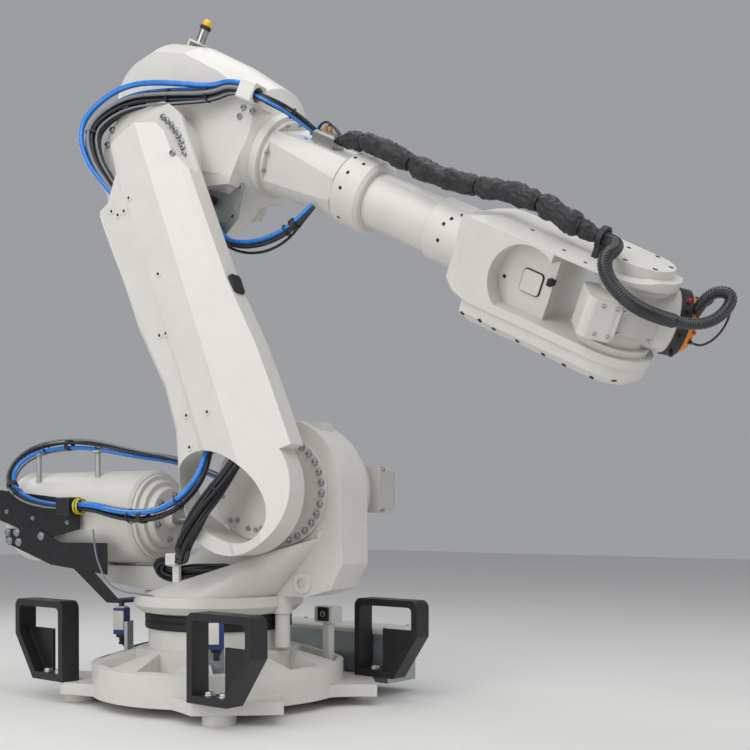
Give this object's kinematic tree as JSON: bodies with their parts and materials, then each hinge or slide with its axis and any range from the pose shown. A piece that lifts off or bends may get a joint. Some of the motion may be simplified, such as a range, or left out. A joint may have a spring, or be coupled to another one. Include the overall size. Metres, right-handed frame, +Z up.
{
  "type": "industrial robot arm",
  "caption": "Floor-standing articulated industrial robot arm with a ribbed base, fork lift pockets, balancing cylinder, long fore arm, fork wrist and tool flange.",
  "frame": {"origin": "centre of the base's foot plane, on the axis that the turntable turns about", "axes": "+Z up; +X towards the front of the base, with the connection box behind at -X; +Y to the base's left"},
  "size_m": [1.116, 2.8025, 2.5584],
  "materials": {
    "paint": "light warm grey paint, satin",
    "black_metal": "black satin coat",
    "galvanised": "galvanised sheet",
    "steel": "turned steel",
    "motor": "grey paint",
    "black_plastic": "black plastic",
    "orange": "orange anodised",
    "lamp": "amber lens",
    "switch": "blue grey plastic",
    "white_plastic": "pale plastic",
    "cable": "black cable sheath",
    "cable_blue": "blue air hose",
    "sleeve": "black woven sleeve"
  },
  "bodies": {
    "base": {"base_casting": "paint", "fork_pocket_front_left": "black_metal", "fork_pocket_rear_left": "black_metal", "fork_pocket_rear_right": "black_metal", "fork_pocket_front_right": "black_metal", "connection_box": "galvanised", "connection_cover": "paint", "base_switch_1": "switch", "switch_foot_1": "galvanised", "base_switch_2": "switch", "switch_foot_2": "galvanised", "base_marker": "paint"},
    "frame": {"turntable_frame": "paint", "stop_post": "paint", "axis2_motor": "paint", "axis1_motor": "paint", "balancer_body": "paint", "balancer_front": "paint", "balancer_rod": "steel", "balancer_rear": "paint", "balancer_saddle": "paint", "cable_shelf": "black_metal", "cable_strut": "black_metal", "shelf_clip": "black_plastic", "deck_clip": "white_plastic", "cable_loop": "cable", "cable_rear": "cable_blue"},
    "lower_arm": {"lower_arm": "paint", "gear2_ring": "paint", "arm_bumper": "black_plastic", "cable_low": "cable_blue", "cable_black": "cable", "cable_top": "cable"},
    "upper_arm": {"arm_house": "paint", "axis3_motor": "paint", "axis4_motor": "paint", "lamp_bracket": "paint", "lamp_body": "steel", "lamp_cap": "lamp", "arm_clip": "white_plastic", "connector_plate": "galvanised"},
    "fore_arm": {"root_tube": "paint", "collar": "paint", "extension_tube": "paint", "wrist_fork": "paint", "fork_cover_upper": "paint", "fork_cover_lower": "paint", "fork_hatch": "paint", "fittings_block": "steel", "hose_guide": "black_plastic", "cable_nose": "cable", "cable_under": "cable", "sleeve": "sleeve", "hose": "cable"},
    "tilt": {"tilt_housing": "paint", "axis6_motor": "motor"},
    "flange": {"hose_ring": "black_plastic", "tool_disc": "orange", "hose_tip": "cable"}
  },
  "joints": [
    {"name": "axis_1", "type": "hinge", "parent": "base", "child": "frame", "pos_m": [0, 0, 0.338], "axis": [0, 0, 1], "range_deg": [-270, 70]},
    {"name": "axis_2", "type": "hinge", "parent": "frame", "child": "lower_arm", "pos_m": [-0.05557, 0.31514, 0.78], "axis": [-0.9848, -0.1736, 0], "range_deg": [-44.6, 105.4], "deforming": ["cable_low", "cable_black"]},
    {"name": "axis_3", "type": "hinge", "parent": "lower_arm", "child": "upper_arm", "pos_m": [0.02191, -0.12426, 1.97972], "axis": [0.9848, 0.1736, 0], "range_deg": [-21.9, 228.1], "deforming": ["cable_top"]},
    {"name": "axis_4", "type": "hinge", "parent": "upper_arm", "child": "fore_arm", "pos_m": [-0.0462, 0.26202, 1.99968], "axis": [-0.1537, 0.8719, -0.4648], "range_deg": [-300, 300], "deforming": ["cable_nose", "cable_under"]},
    {"name": "axis_5", "type": "hinge", "parent": "fore_arm", "child": "tilt", "pos_m": [-0.26944, 1.52808, 1.32473], "axis": [0.2276, 0.489, 0.8421], "range_deg": [-166.5, 93.5], "deforming": ["hose"]},
    {"name": "axis_6", "type": "hinge", "parent": "tilt", "child": "flange", "pos_m": [-0.37238, 1.62973, 1.29352], "axis": [-0.6955, 0.6868, -0.2109], "range_deg": [-360, 360], "deforming": ["hose_tip"]}
  ]
}
